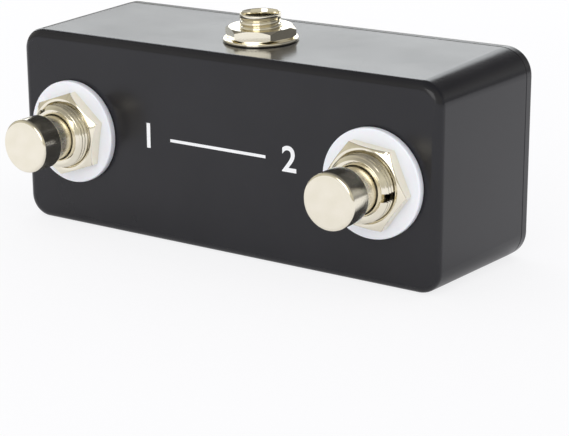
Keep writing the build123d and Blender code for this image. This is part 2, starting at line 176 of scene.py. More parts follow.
# The print. A numeral takes up DIGIT_SHARE of its text size, and its strokes are swelled a little
PRINT_HEIGHT = 4.6
PRINT_THICKNESS = 0.03
PRINT_RISE = 1.2
RULE_LENGTH = 21.0
RULE_WIDTH = 0.55
DIGIT_SPREAD = 15.5
DIGIT_SHARE = 0.7
DIGIT_SWELL = 0.08


# ---- Places ----

def mount(name):
    return next(m for m in frame["record"]["mounts"] if m["name"] == name)


def frame_at(origin, x_axis, z_axis):
    """A right-handed frame as a matrix, from its origin, its X and its Z."""
    y_axis = Vector(z_axis).cross(Vector(x_axis))
    turn = Matrix((x_axis, y_axis, z_axis)).transposed().to_4x4()
    return Matrix.Translation(origin) @ turn


INWARD = Vector(mount("base_face")["axis"])
FACE_CENTRE = Vector(mount("base_face")["pos_m"]) - BOX_DEPTH * MM * INWARD


def centre_x(node):
    low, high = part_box(node)
    return (low.x + high.x) / 2


def face_place(x):
    """Local Z out of the front face, local Y up the face."""
    return frame_at(FACE_CENTRE + Vector((x, 0, 0)), (1, 0, 0), -INWARD)


def back_place(x, rise):
    """Local Z out of the lid's back, local Y up it."""
    up = INWARD.cross(Vector((-1, 0, 0)))
    origin = FACE_CENTRE + BOX_DEPTH * MM * INWARD + Vector((x, 0, 0)) + rise * up
    return frame_at(origin, (-1, 0, 0), INWARD)


def socket_place():
    bore = mount("jack_bore")
    axis = Vector(bore["axis"])
    return frame_at(Vector(bore["pos_m"]) - SOCKET_CENTRE_HEIGHT * MM * axis, (1, 0, 0), axis)


SWITCH_PLACES = {side: face_place(centre_x(f"{side}_button_cap")) for side in SWITCHES}
SOCKET_PLACE = socket_place()


# ---- Materials ----

# Rings and grooves that the tool leaves on turned metal. They are drawn coarser than a lathe
# leaves them, so that they show.
RING_SPACING = 0.16
GROOVES_PER_RING = 1.5
GROOVE_HEIGHT = 0.0006

# Length in metres of one wave of a wave texture whose scale is 1
WAVE_LENGTH = math.tau / 20


def linear(code):
    """An sRGB hex colour as linear red, green, blue and alpha."""
    channels = [int(code[i:i + 2], 16) / 255 for i in (1, 3, 5)]
    return [c / 12.92 if c < 0.04045 else ((c + 0.055) / 1.055) ** 2.4 for c in channels] + [1.0]


def grey(value):
    return (value, value, value, 1)


def per_metre(size):
    """Scale of a noise whose lumps are about size millimetres across."""
    return 1 / (size * MM)


def new_material(name):
    made = bpy.data.materials.new(name)
    made.use_nodes = True
    made.node_tree.nodes.clear()
    return made


def add(material, kind, links=None, settings=None, stops=None, **inputs):
    """Adds a node: inputs sets sockets by name, settings its own options, links sockets from
    nodes, and stops is the (position, colour) list of a colour ramp."""
    node = material.node_tree.nodes.new(kind)
    for option, value in (settings or {}).items():
        setattr(node, option, value)
    for socket, value in inputs.items():
        node.inputs[socket.replace("_", " ")].default_value = value
    for socket, (source, output) in (links or {}).items():
        material.node_tree.links.new(source.outputs[output], node.inputs[socket])
    if stops:
        points = node.color_ramp.elements
        points[0].position, points[0].color = stops[0]
        points[1].position, points[1].color = stops[-1]
        for position, colour in stops[1:-1]:
            points.new(position).color = colour
    return node


def black_enamel():
    """Black enamel, sprayed and baked on die-cast aluminium: a near mirror at a low angle and a
    soft charcoal face on, with faint orange peel from the spray and an uneven gloss."""
    made = new_material("black_baked_enamel")
    space = {"Vector": (add(made, "ShaderNodeTexCoord"), "Object")}
    peel = add(
        made, "ShaderNodeTexNoise", links=space, Scale=per_metre(1.6), Detail=2.0, Roughness=0.5
    )
    dust = add(
        made, "ShaderNodeTexNoise", links=space, Scale=per_metre(0.22), Detail=2.0, Roughness=0.5
    )
    haze = add(
        made, "ShaderNodeTexNoise", links=space, Scale=per_metre(14.0), Detail=4.0, Roughness=0.5
    )
    tone = add(
        made, "ShaderNodeValToRGB", links={"Fac": (haze, "Fac")},
        stops=[(0.3, linear("#1c1c20")), (0.7, linear("#202024"))],
    )
    gloss = add(
        made, "ShaderNodeValToRGB", links={"Fac": (haze, "Fac")},
        stops=[(0.3, grey(0.17)), (0.7, grey(0.22))],
    )
    specks = add(
        made, "ShaderNodeBump", links={"Height": (dust, "Fac")},
        Strength=1.0, Distance=0.0009 * MM,
    )
    skin = add(
        made, "ShaderNodeBump", links={"Height": (peel, "Fac"), "Normal": (specks, "Normal")},
        Strength=1.0, Distance=0.004 * MM,
    )
    surface = add(
        made, "ShaderNodeBsdfPrincipled",
        links={
            "Base Color": (tone, "Color"), "Roughness": (gloss, "Color"),
            "Normal": (skin, "Normal"),
        },
        IOR=1.42,
    )
    add(made, "ShaderNodeOutputMaterial", links={"Surface": (surface, 0)})
    return made


def nickel(name, place, roughness, groove_height=0.0):
    """Bright nickel plate on turned brass: a warm mirror with faint rings left by the tool about
    the piece's axis. With a groove height, fine grooves round its sides blur what they mirror."""
    made = new_material(name)
    coordinates = add(made, "ShaderNodeTexCoord")
    inverse = place.inverted()
    mapping = add(
        made, "ShaderNodeMapping", links={"Vector": (coordinates, "Object")},
        Location=inverse.to_translation(), Rotation=inverse.to_euler(),
    )
    space = {"Vector": (mapping, "Vector")}
    ring_scale = WAVE_LENGTH / (RING_SPACING * MM)
    rings = add(
        made, "ShaderNodeTexWave", links=space,
        settings={"wave_type": "RINGS", "rings_direction": "Z", "wave_profile": "SIN"},
        Scale=ring_scale, Distortion=1.2, Detail=2.0, Detail_Scale=1.5,
    )
    grooves = add(
        made, "ShaderNodeTexWave", links=space,
        settings={"wave_type": "BANDS", "bands_direction": "Z", "wave_profile": "SIN"},
        Scale=GROOVES_PER_RING * ring_scale, Distortion=0.6, Detail=2.0, Detail_Scale=0.5,
    )
    cloud = add(
        made, "ShaderNodeTexNoise", links=space, Scale=per_metre(2.5), Detail=4.0, Roughness=0.5
    )
    tone = add(
        made, "ShaderNodeValToRGB", links={"Fac": (cloud, "Fac")},
        stops=[(0.3, linear("#efe9d6")), (0.7, linear("#f6f0e0"))],
    )
    gloss = add(
        made, "ShaderNodeValToRGB", links={"Fac": (cloud, "Fac")},
        stops=[(0.3, grey(roughness * 0.75)), (0.75, grey(roughness * 1.4))],
    )
    waviness = add(
        made, "ShaderNodeBump", links={"Height": (cloud, "Fac")},
        Strength=1.0, Distance=0.002 * MM,
    )
    ringed = add(
        made, "ShaderNodeBump", links={"Height": (rings, "Fac"), "Normal": (waviness, "Normal")},
        Strength=1.0, Distance=0.0005 * MM,
    )
    grooved = add(
        made, "ShaderNodeBump", links={"Height": (grooves, "Fac"), "Normal": (ringed, "Normal")},
        Strength=1.0, Distance=groove_height * MM,
    )
    surface = add(
        made, "ShaderNodeBsdfPrincipled",
        links={
            "Base Color": (tone, "Color"), "Roughness": (gloss, "Color"),
            "Normal": (grooved, "Normal"),
        },
        Metallic=1.0,
    )
    add(made, "ShaderNodeOutputMaterial", links={"Surface": (surface, 0)})
    return made


def plain_metal(name, dark, light, roughness, grain_size, relief):
    """Rolled, drawn or plated metal, used behind the panel: even tone with a fine grain."""
    made = new_material(name)
    space = {"Vector": (add(made, "ShaderNodeTexCoord"), "Object")}
    cloud = add(
        made, "ShaderNodeTexNoise", links=space,
        Scale=per_metre(grain_size), Detail=4.0, Roughness=0.5,
    )
    tone = add(
        made, "ShaderNodeValToRGB", links={"Fac": (cloud, "Fac")},
        stops=[(0.3, linear(dark)), (0.7, linear(light))],
    )
    gloss = add(
        made, "ShaderNodeValToRGB", links={"Fac": (cloud, "Fac")},
        stops=[(0.3, grey(roughness * 0.8)), (0.7, grey(roughness * 1.25))],
    )
    skin = add(
        made, "ShaderNodeBump", links={"Height": (cloud, "Fac")},
        Strength=1.0, Distance=relief * MM,
    )
    surface = add(
        made, "ShaderNodeBsdfPrincipled",
        links={
            "Base Color": (tone, "Color"), "Roughness": (gloss, "Color"),
            "Normal": (skin, "Normal"),
        },
        Metallic=1.0,
    )
    add(made, "ShaderNodeOutputMaterial", links={"Surface": (surface, 0)})
    return made


def plastic(name, dark, light, roughness, grain_size, relief, ior=1.5, subsurface=0.0):
    """Moulded or extruded plastic: a fine sparked grain and a soft, slightly uneven gloss."""
    made = new_material(name)
    space = {"Vector": (add(made, "ShaderNodeTexCoord"), "Object")}
    cloud = add(
        made, "ShaderNodeTexNoise", links=space, Scale=per_metre(6.0), Detail=3.0, Roughness=0.5
    )
    spark = add(
        made, "ShaderNodeTexNoise", links=space,
        Scale=per_metre(grain_size), Detail=2.0, Roughness=0.5,
    )
    tone = add(
        made, "ShaderNodeValToRGB", links={"Fac": (cloud, "Fac")},
        stops=[(0.3, linear(dark)), (0.7, linear(light))],
    )
    gloss = add(
        made, "ShaderNodeValToRGB", links={"Fac": (spark, "Fac")},
        stops=[(0.3, grey(roughness * 0.85)), (0.7, grey(roughness * 1.15))],
    )
    skin = add(
        made, "ShaderNodeBump", links={"Height": (spark, "Fac")},
        Strength=1.0, Distance=relief * MM,
    )
    surface = add(
        made, "ShaderNodeBsdfPrincipled",
        links={
            "Base Color": (tone, "Color"), "Roughness": (gloss, "Color"),
            "Normal": (skin, "Normal"),
        },
        IOR=ior, Subsurface_Weight=subsurface, Subsurface_Scale=1.0 * MM,
    )
    add(made, "ShaderNodeOutputMaterial", links={"Surface": (surface, 0)})
    return made


# ---- Modelling ----

def pick(*pieces):
    """Selects these pieces alone and makes the first one active."""
    bpy.ops.object.select_all(action="DESELECT")
    for piece in pieces:
        piece.select_set(True)
    bpy.context.view_layer.objects.active = pieces[0]


def twin(piece, name):
    """A copy with a mesh of its own."""
    copy = piece.copy()
    copy.data = piece.data.copy()
    copy.name = copy.data.name = name
    bpy.context.scene.collection.objects.link(copy)
    return copy


def begin(name):
    """Names the primitive just added and opens it in edit mode with all of it selected."""
    piece = bpy.context.active_object
    piece.name = name
    piece.data.name = name
    bpy.ops.object.mode_set(mode="EDIT")
    bpy.ops.mesh.select_all(action="SELECT")
    return piece


def close_edit():
    """Leaves edit mode with every face pointing outwards."""
    bpy.ops.mesh.select_all(action="SELECT")
    bpy.ops.mesh.normals_make_consistent(inside=False)
    bpy.ops.object.mode_set(mode="OBJECT")


def turned(name, profile, sides=96, ring=False):
    """A turned piece about Z. Each (radius, height) of the profile is one more extruded ring.
    A ring joins its last edge to its first, and any other piece is closed by a disc at each end."""
    bpy.ops.object.select_all(action="DESELECT")
    radius, height = profile[0]
    bpy.ops.mesh.primitive_circle_add(
        vertices=sides,
        radius=radius * MM,
        location=(0, 0, height * MM),
        fill_type="NOTHING" if ring else "NGON",
    )
    bpy.ops.object.transform_apply(location=True, rotation=True, scale=True)
    piece = begin(name)
    for (radius, height), (next_radius, next_height) in zip(profile, profile[1:]):
        rise = (0, 0, (next_height - height) * MM)
        bpy.ops.mesh.extrude_region_move(TRANSFORM_OT_translate={"value": rise})
        growth = next_radius / radius
        bpy.ops.transform.resize(
            value=(growth, growth, 1), center_override=(0, 0, next_height * MM)
        )
    if ring:
        bpy.ops.mesh.select_all(action="DESELECT")
        bpy.ops.mesh.select_non_manifold()
        bpy.ops.mesh.bridge_edge_loops()
    close_edit()
    return piece


def use_modifier(piece, kind, **settings):
    """Adds a modifier with its settings and applies it."""
    pick(piece)
    modifier = piece.modifiers.new(kind.lower(), kind)
    for option, value in settings.items():
        setattr(modifier, option, value)
    bpy.ops.object.modifier_apply(modifier=modifier.name)


def combine(piece, other, operation):
    """Cuts, joins or intersects with another piece, which is used up. Points that the cut leaves
    almost on each other are merged."""
    use_modifier(piece, "BOOLEAN", object=other, operation=operation, solver="EXACT")
    bpy.data.objects.remove(other)
    bpy.ops.object.mode_set(mode="EDIT")
    bpy.ops.mesh.select_all(action="SELECT")
    bpy.ops.mesh.remove_doubles(threshold=WELD * MM)
    bpy.ops.object.mode_set(mode="OBJECT")


def round_edges(piece, width, segments=2, angle=25):
    """Rounds the sharp edges by a width in millimetres."""
    use_modifier(
        piece,
        "BEVEL",
        width=width * MM,
        segments=segments,
        limit_method="ANGLE",
        angle_limit=math.radians(angle),
        miter_outer="MITER_ARC",
    )


def soften(piece, width, segments=2, angle=25, smooth=35):
    """Rounds the sharp edges, then shades smooth what is nearly level, with flats kept flat."""
    round_edges(piece, width, segments, angle)
    return polish(piece, smooth)


def polish(piece, angle=35):
    """Shades smooth, with the large faces setting the normals, so that flats stay flat."""
    smooth_shade(piece, angle)
    use_modifier(piece, "WEIGHTED_NORMAL", mode="FACE_AREA", weight=100, keep_sharp=True)
    return piece


def smooth_shade(piece, angle):
    pick(piece)
    bpy.ops.object.shade_smooth_by_angle(angle=math.radians(angle))


def wind(name, pitch, turns, steps, corners):
    """Winds the outline that was just added up the Z axis, and closes the coil's two ends."""
    coil = bpy.context.active_object
    use_modifier(
        coil,
        "SCREW",
        axis="Z",
        angle=math.tau,
        screw_offset=pitch * MM,
        iterations=turns,
        steps=steps,
        render_steps=steps,
    )
    begin(name)
    bpy.ops.mesh.remove_doubles(threshold=SEAM * MM)
    bpy.ops.mesh.select_all(action="DESELECT")
    bpy.ops.mesh.select_non_manifold()
    bpy.ops.mesh.fill_holes(sides=corners)
    close_edit()
    return coil


def cut_thread(piece, radius, low, high, pitch=THREAD_PITCH):
    """Cuts a V thread: a three-sided cutter stands at the foot and is wound up the axis."""
    overshoot = 0.05
    # A triangle is one and a half times as deep as its radius
    size = (THREAD_DEPTH + overshoot) / 1.5
    bpy.ops.object.select_all(action="DESELECT")
    bpy.ops.mesh.primitive_circle_add(
        vertices=3,
        radius=size * MM,
        location=((radius + overshoot - size / 2) * MM, 0, low * MM),
        rotation=(math.pi / 2, -math.pi / 2, 0),
    )
    bpy.ops.object.transform_apply(location=True, rotation=True, scale=True)
    turns = round((high - low) / pitch)
    cutter = wind(piece.name + "_cutter", pitch, turns, steps=96, corners=3)
    combine(piece, cutter, "DIFFERENCE")


def block(name, size, centre):
    """A box of a size about a centre: a cutter, or the printed rule."""
    bpy.ops.object.select_all(action="DESELECT")
    bpy.ops.mesh.primitive_cube_add(size=1, location=[c * MM for c in centre])
    box = bpy.context.active_object
    box.name = name
    box.scale = [s * MM for s in size]
    bpy.ops.object.transform_apply(location=True, rotation=True, scale=True)
    return box


def settle(piece, place, material, body, nodes=()):
    """Puts a finished piece in its place, dresses it and makes it ride on its body."""
    piece.matrix_world = place
    pick(piece)
    bpy.ops.object.transform_apply(location=True, rotation=True, scale=True)
    piece.data.materials.clear()
    piece.data.materials.append(material)
    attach(piece, body)
    if nodes:
        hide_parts(*nodes)


# ---- Switch pieces ----

def threaded_neck(name, keyway):
    """The switch's bushing: threaded neck with a keyway, skirt and rolled lip."""
    neck = turned(
        name,
        [
            (NECK_BORE, SKIRT_SEAT),
            (NECK_BORE, NECK_END - NECK_MOUTH),
            (NECK_BORE + NECK_MOUTH, NECK_END),
            (NECK_RADIUS - NECK_CHAMFER, NECK_END),
            (NECK_RADIUS, NECK_END - NECK_CHAMFER),
            (NECK_RADIUS, NECK_FOOT),
            (SKIRT_RADIUS, NECK_FOOT),
            (SKIRT_RADIUS, SKIRT_END),
            (SKIRT_LIP_RADIUS, SKIRT_END),
            (SKIRT_LIP_RADIUS, SKIRT_LIP),
            (SKIRT_BORE, SKIRT_LIP),
            (SKIRT_BORE, SKIRT_SEAT),
        ],
        ring=True,
    )
    round_edges(neck, TURNED_EDGE)
    slot = block(
        name + "_keyway",
        (2 * KEYWAY_DEPTH, KEYWAY_WIDTH, 2 * (NECK_END - NECK_FOOT)),
        (NECK_RADIUS, 0, NECK_END),
    )
    slot.matrix_world = Matrix.Rotation(math.radians(keyway), 4, "Z")
    combine(neck, slot, "DIFFERENCE")
    cut_thread(neck, NECK_RADIUS, NECK_FOOT + THREAD_PITCH, NECK_END + THREAD_PITCH)
    return polish(neck, THREAD_SMOOTHING)


def hex_nut(name, flats, bevel_radius, hole, low, high, turn, both_ends=False):
    """A hexagon nut: corners turned off by a cone, and the hole countersunk."""
    corner = flats / math.sqrt(3)
    fall = (corner - bevel_radius) * math.tan(math.radians(NUT_BEVEL_ANGLE))
    bpy.ops.object.select_all(action="DESELECT")
    bpy.ops.mesh.primitive_cylinder_add(
        vertices=6,
        radius=corner * MM,
        depth=(high - low) * MM,
        location=(0, 0, (low + high) / 2 * MM),
        rotation=(0, 0, math.radians(turn + 90)),
    )
    bpy.ops.object.transform_apply(location=True, rotation=True, scale=True)
    nut = begin(name)
    close_edit()
    clear = corner + 0.01
    foot = [(clear, low)]
    if both_ends:
        foot = [(bevel_radius, low), (clear, low + fall)]
    top = [(clear, high - fall), (bevel_radius, high)]
    envelope = turned(name + "_cone", foot + top)
    combine(nut, envelope, "INTERSECT")
    past = 1.0
    flare = NUT_COUNTERSINK + past
    bore = turned(
        name + "_bore",
        [
            (hole, low - past),
            (hole, high - NUT_COUNTERSINK),
            (hole + NUT_COUNTERSINK, high),
            (hole + flare, high + past),
        ],
    )
    combine(nut, bore, "DIFFERENCE")
    return soften(nut, NUT_EDGE, segments=3, angle=20)


def washer(name, outer, hole, thickness, edge):
    """A flat ring with rounded edges."""
    ring = turned(
        name,
        [(hole, 0), (hole, thickness), (outer, thickness), (outer, 0)],
        sides=128,
        ring=True,
    )
    return soften(ring, edge, segments=3)


def button_cap(name):
    """Turned cap: a flat face with a bevelled rim, and a blind hole for the stem's spigot."""
    cap = turned(
        name,
        [
            (CAP_HOLE_RADIUS, CAP_HOLE_END),
            (CAP_HOLE_RADIUS, CAP_REAR),
            (CAP_RADIUS, CAP_REAR),
            (CAP_RADIUS, CAP_FRONT - CAP_BEVEL),
            (CAP_RADIUS - CAP_BEVEL, CAP_FRONT),
        ],
        sides=128,
    )
    return soften(cap, CAP_EDGE, segments=4, smooth=30)


def button_stem(name):
    """Turned stem: stud, retaining shoulder, shaft and the spigot that the cap sits on."""
    shoulder_top, shoulder_end = STEM_SHOULDER
    stem = turned(
        name,
        [
            (STUD_RADIUS, STUD_END),
            (STUD_RADIUS, shoulder_end),
            (STEM_SHOULDER_RADIUS, shoulder_end),
            (STEM_SHOULDER_RADIUS, shoulder_top),
            (STEM_RADIUS, shoulder_top),
            (STEM_RADIUS, CAP_REAR),
            (CAP_HOLE_RADIUS, CAP_REAR),
            (CAP_HOLE_RADIUS, STEM_SPIGOT_END),
        ],
    )
    return soften(stem, TURNED_EDGE)


def return_spring(name):
    """Coil spring: a round wire wound up the axis."""
    corners = 12
    bpy.ops.object.select_all(action="DESELECT")
    bpy.ops.mesh.primitive_circle_add(
        vertices=corners,
        radius=SPRING_WIRE * MM,
        location=(SPRING_RADIUS * MM, 0, (SPRING_FOOT + SPRING_WIRE) * MM),
        rotation=(math.pi / 2, 0, 0),
    )
    bpy.ops.object.transform_apply(location=True, rotation=True, scale=True)
    height = SPRING_HEAD - SPRING_FOOT - 2 * SPRING_WIRE
    spring = wind(name, height / SPRING_TURNS, SPRING_TURNS, steps=32, corners=corners)
    smooth_shade(spring, angle=40)
    return spring


def dress_spring(side, spring, material):
    """The spring stands on the case's floor, with a mesh of its own."""
    place = SWITCH_PLACES[side]
    settle(spring, place, material, "box", [f"{side}_return_spring"])
    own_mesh(spring)


def dress_switches(materials):
    """Each switch gets a neck and a nut of its own, which stand at their own angles, and copies
    of the pieces that are alike, which are modelled once."""
    ring = washer("nylon_washer", WASHER_RADIUS, WASHER_HOLE, WASHER_THICKNESS, WASHER_EDGE)
    cap = button_cap("plated_cap")
    stem = button_stem("plated_stem")
    spring = return_spring("coil_spring")
    for side, angles in SWITCHES.items():
        place = SWITCH_PLACES[side]
        moving = f"{side}_button"
        plate = materials[f"nickel_{side}"]
        settle(
            threaded_neck(f"{side}_threaded_neck", angles["keyway"]),
            place, plate, "box", [f"{side}_barrel"],
        )
        settle(
            hex_nut(
                f"{side}_panel_nut", NUT_FLATS, NUT_BEVEL_RADIUS, NUT_HOLE, WASHER_THICKNESS,
                WASHER_THICKNESS + NUT_HEIGHT, angles["nut_turn"],
            ),
            place, plate, "box", [f"{side}_front_nut"],
        )
        settle(
            twin(ring, f"{side}_nylon_washer"),
            place, materials["white_nylon"], "box", [f"{side}_dress_washer"],
        )
        settle(
            twin(cap, f"{side}_plated_cap"),
            place, materials[f"button_{side}"], moving, [f"{side}_button_cap"],
        )
        settle(
            twin(stem, f"{side}_plated_stem"),
            place, materials[f"stem_{side}"], moving, [f"{side}_plunger"],
        )
        dress_spring(side, twin(spring, f"{side}_coil_spring"), materials["spring_wire"])
    for pattern in (ring, cap, stem, spring):
        bpy.data.objects.remove(pattern)


# ---- Socket pieces ----

def socket_sleeve(name):
    """The socket's threaded sleeve: flared mouth, flange behind the wall and a plain tail."""
    break_width, break_height = SOCKET_RIM_BREAK
    sleeve = turned(
        name,
        [
            (SOCKET_BORE, SOCKET_TAIL_END),
            (SOCKET_BORE, SOCKET_END - SOCKET_MOUTH_DEPTH),
            (SOCKET_BORE + SOCKET_MOUTH_FLARE, SOCKET_END - SOCKET_LIP),
            (SOCKET_BORE + SOCKET_MOUTH_FLARE + SOCKET_LIP, SOCKET_END),
            (SOCKET_RADIUS - break_width, SOCKET_END),
            (SOCKET_RADIUS, SOCKET_END - break_height),
            (SOCKET_RADIUS, -SOCKET_WALL),
            (SOCKET_FLANGE_RADIUS, -SOCKET_WALL),
            (SOCKET_FLANGE_RADIUS, SOCKET_FLANGE_END),
            (SOCKET_TAIL_RADIUS, SOCKET_FLANGE_END),
            (SOCKET_TAIL_RADIUS, SOCKET_TAIL_END),
        ],
        ring=True,
    )
    round_edges(sleeve, TURNED_EDGE)
    high = SOCKET_END - SOCKET_THREAD_INSET
    low = high - SOCKET_THREAD_TURNS * SOCKET_THREAD_PITCH
    cut_thread(sleeve, SOCKET_RADIUS, low, high, SOCKET_THREAD_PITCH)
    return polish(sleeve, THREAD_SMOOTHING)


def dress_socket(materials):
    plate = materials["nickel_socket"]
    settle(
        socket_sleeve("socket_sleeve"),
        SOCKET_PLACE, plate, "box", ["jack_collar"],
    )
    low = SOCKET_WASHER_THICKNESS
    settle(
        hex_nut(
            "socket_nut", SOCKET_NUT_FLATS, SOCKET_NUT_BEVEL_RADIUS, SOCKET_NUT_HOLE, low,
            low + SOCKET_NUT_HEIGHT, SOCKET_NUT_TURN, both_ends=True,
        ),
        SOCKET_PLACE, plate, "box", ["jack_nut"],
    )
    settle(
        washer(
            "socket_washer", SOCKET_WASHER_RADIUS, SOCKET_WASHER_HOLE, SOCKET_WASHER_THICKNESS,
            SOCKET_WASHER_EDGE,
        ),
        SOCKET_PLACE, plate, "box", ["jack_washer"],
    )


# ---- Lid screws ----

def lid_screw(name):
    """Countersunk screw with a cross recess, whose two arms narrow to the recess's floor."""
    screw = turned(
        name,
        [
            (SCREW_POINT_RADIUS, -SCREW_LENGTH),
            (SCREW_RADIUS, -SCREW_LENGTH + SCREW_POINT_LENGTH),
            (SCREW_RADIUS, -SCREW_HEAD_DEPTH),
            (SCREW_HEAD_RADIUS - SCREW_RIM, -2 * SCREW_RIM),
            (SCREW_HEAD_RADIUS - 2 * SCREW_RIM, -SCREW_SINK),
        ],
        sides=64,
    )
    for turn in (0, 90):
        arm = block(name + "_recess", (*RECESS_ARM, 2 * RECESS_DEPTH), (0, 0, 0))
        begin(arm.name)
        bpy.ops.mesh.select_all(action="DESELECT")
        bpy.ops.object.mode_set(mode="OBJECT")
        for vertex in arm.data.vertices:
            vertex.select = vertex.co.z < 0
        bpy.ops.object.mode_set(mode="EDIT")
        bpy.ops.transform.resize(value=(*RECESS_TAPER, 1), center_override=(0, 0, 0))
        close_edit()
        arm.matrix_world = Matrix.Rotation(math.radians(turn), 4, "Z")
        combine(screw, arm, "DIFFERENCE")
    return soften(screw, SCREW_RIM)


def dress_lid_screws(material):
    """One screw in each corner of the lid, copied from one and joined."""
    pattern = lid_screw("lid_screw")
    screws = []
    for (sign_x, sign_up), turn in SCREW_TURNS.items():
        screw = twin(pattern, "recessed_lid_screws")
        place = back_place(
            sign_x * (BOX_LENGTH / 2 - SCREW_INSET) * MM,
            sign_up * (BOX_WIDTH / 2 - SCREW_INSET) * MM,
        )
        screw.matrix_world = place @ Matrix.Rotation(math.radians(turn), 4, "Z")
        screws.append(screw)
    bpy.data.objects.remove(pattern)
    pick(*screws)
    bpy.ops.object.transform_apply(location=True, rotation=True, scale=True)
    bpy.ops.object.join()
    settle(screws[0], Matrix.Identity(4), material, "box", ["lid_screws"])


# ---- Front print ----

def digit(character, x):
    """One printed numeral, as a thin raised mesh."""
    bpy.ops.object.select_all(action="DESELECT")
    bpy.ops.object.text_add(location=(0, 0, 0))
    text = bpy.context.active_object
    text.data.body = character
    text.data.align_x = "CENTER"
    text.data.align_y = "CENTER"
    text.data.size = PRINT_HEIGHT / DIGIT_SHARE * MM
    text.data.extrude = PRINT_THICKNESS / 2 * MM
    text.data.offset = DIGIT_SWELL * MM
    bpy.ops.object.convert(target="MESH")
    text.location = (x * MM, PRINT_RISE * MM, PRINT_THICKNESS / 2 * MM)
    bpy.ops.object.transform_apply(location=True, rotation=True, scale=True)
    return text


def front_print(material):
    """Two numerals with a rule between them, screen printed in white."""
    rule = block(
        "printed_rule",
        (RULE_LENGTH, RULE_WIDTH, PRINT_THICKNESS),
        (0, PRINT_RISE, PRINT_THICKNESS / 2),
    )
    pieces = [rule, digit("1", -DIGIT_SPREAD), digit("2", DIGIT_SPREAD)]
    pick(*pieces)
    bpy.ops.object.join()
    rule.name = rule.data.name = "front_print"
    settle(rule, face_place(0), material, "box")


# ---- Carried-over pieces ----

def dress_nodes(materials):
    """Gives each CAD node that is shown its finish, by the kind of piece it is."""
    finishes = {
        "enclosure": "enamel",
        "base_lid": "enamel",
        "lock_washer": "zinc_steel",
        "back_nut": "nickel_socket",
        "switch_case": "phenolic",
        "contact_bridge": "contact_brass",
        "terminal_left": "contact_brass",
        "terminal_right": "contact_brass",
        "jack_body": "black_moulding",
        "jack_sleeve_tag": "contact_brass",
        "jack_tip_leaf": "contact_brass",
        "jack_ring_leaf": "contact_brass",
        "ground_wire": "black_insulation",
        "left_signal_wire": "white_insulation",
        "right_signal_wire": "red_insulation",
    }
    for name, node in frame["nodes"].items():
        for ending, finish in finishes.items():
            if name.endswith(ending):
                for slot in node.material_slots:
                    slot.material = materials[finish]


# ---- Stage ----

# The room in reflections, as sines of the height above the horizon with the tone there.
# The wall behind the object is dim up high, and the wall in front of it is lighter and warmer.
BACK_WALL = [
    (0.0, linear("#8a8988")),
    (0.08, linear("#939291")),
    (0.2, linear("#bcbbb8")),
    (0.3, linear("#aba9a4")),
    (0.5, linear("#706e6b")),
]
FRONT_WALL = [
    (0.0, linear("#c0bcb1")),
    (0.35, linear("#d2cec0")),
    (0.7, linear("#b2aea2")),
    (1.0, linear("#7e7c78")),
]


# How much of the floor is its own glow, to the eye and in reflections
FLOOR_SEEN = 0.82
FLOOR_MIRRORED = 0.3


def floor_material():
    """White sweep: near white to the eye, a little of that in reflections, with a faint cool
    shadow where the object stands."""
    made = new_material("white_sweep")
    rays = add(made, "ShaderNodeLightPath")
    mirrored = add(
        made, "ShaderNodeMath", settings={"operation": "MAXIMUM"},
        links={0: (rays, "Is Glossy Ray"), 1: (rays, "Is Transmission Ray")},
    )
    mirrored_share = add(
        made, "ShaderNodeMath", settings={"operation": "MULTIPLY"}, links={0: (mirrored, 0)}
    )
    mirrored_share.inputs[1].default_value = FLOOR_MIRRORED
    seen_share = add(
        made, "ShaderNodeMath", settings={"operation": "MULTIPLY_ADD"},
        links={0: (rays, "Is Camera Ray"), 2: (mirrored_share, 0)},
    )
    seen_share.inputs[1].default_value = FLOOR_SEEN
    paper = add(made, "ShaderNodeBsdfDiffuse", Color=linear("#faf9fa"))
    glow = add(made, "ShaderNodeEmission", Color=linear("#fefeff"), Strength=1.0)
    surface = add(
        made, "ShaderNodeMixShader", links={0: (seen_share, 0), 1: (paper, 0), 2: (glow, 0)}
    )
    side = add(made, "ShaderNodeNewGeometry")
    clear = add(made, "ShaderNodeBsdfTransparent")
    whole = add(
        made,
        "ShaderNodeMixShader",
        links={0: (side, "Backfacing"), 1: (surface, 0), 2: (clear, 0)},
    )
    add(made, "ShaderNodeOutputMaterial", links={"Surface": (whole, 0)})
    return made


def floor():
    bpy.ops.object.select_all(action="DESELECT")
    bpy.ops.mesh.primitive_plane_add(size=6.0, location=(0, 0, 0))
    plane = bpy.context.active_object
    plane.name = "sweep"
    plane.data.materials.append(floor_material())


